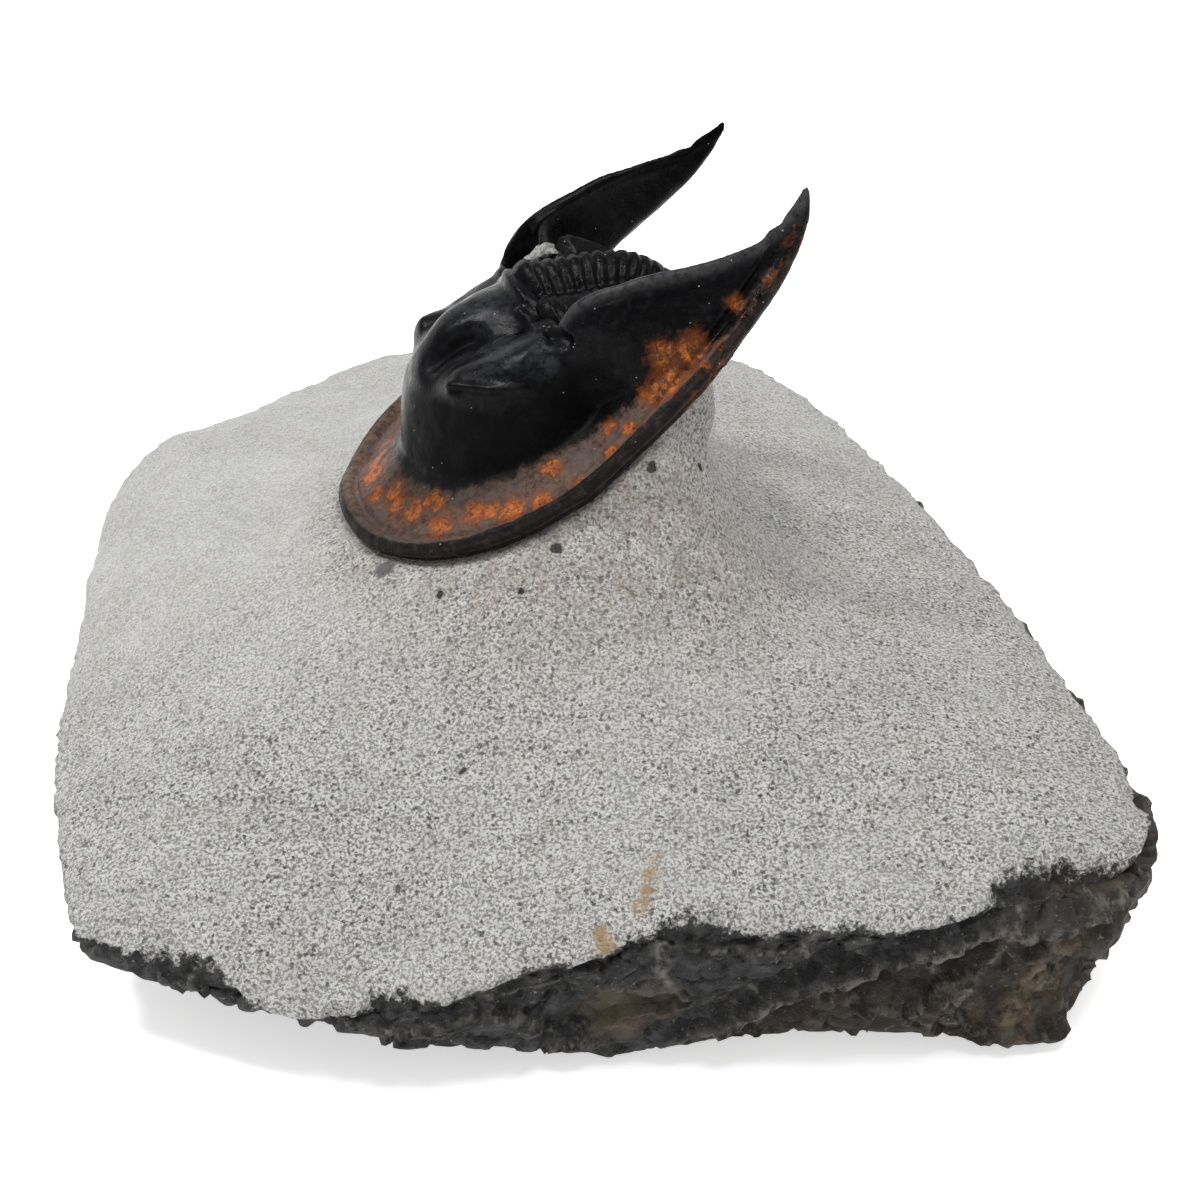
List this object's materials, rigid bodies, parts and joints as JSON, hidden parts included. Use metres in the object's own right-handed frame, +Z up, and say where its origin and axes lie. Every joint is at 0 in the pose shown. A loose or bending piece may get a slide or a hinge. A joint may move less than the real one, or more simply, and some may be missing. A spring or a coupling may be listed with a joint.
{
  "type": "fossil harpes trilobite",
  "caption": "Fossil trilobite with a horseshoe head shield and long rear blades, standing proud on a block of its own limestone.",
  "frame": {"origin": "bottom centre of the object's box, on the flat foot of the block", "axes": "+Z up, the shortest extent; +X to the right as the picture shows it; +Y away from the viewer, the block's longest extent"},
  "size_m": [0.0834, 0.099, 0.0496],
  "materials": {
    "matrix": "light grey limestone, sandblasted on top and broken dark along its front edge",
    "cephalon": "black fossil shell, half gloss, with brown and rust patches on the brim",
    "thorax": "black fossil shell, half gloss",
    "pygidium": "black fossil shell, half gloss"
  },
  "bodies": {
    "root": {"matrix": "matrix", "cephalon": "cephalon", "thorax": "thorax", "pygidium": "pygidium"}
  },
  "joints": []
}
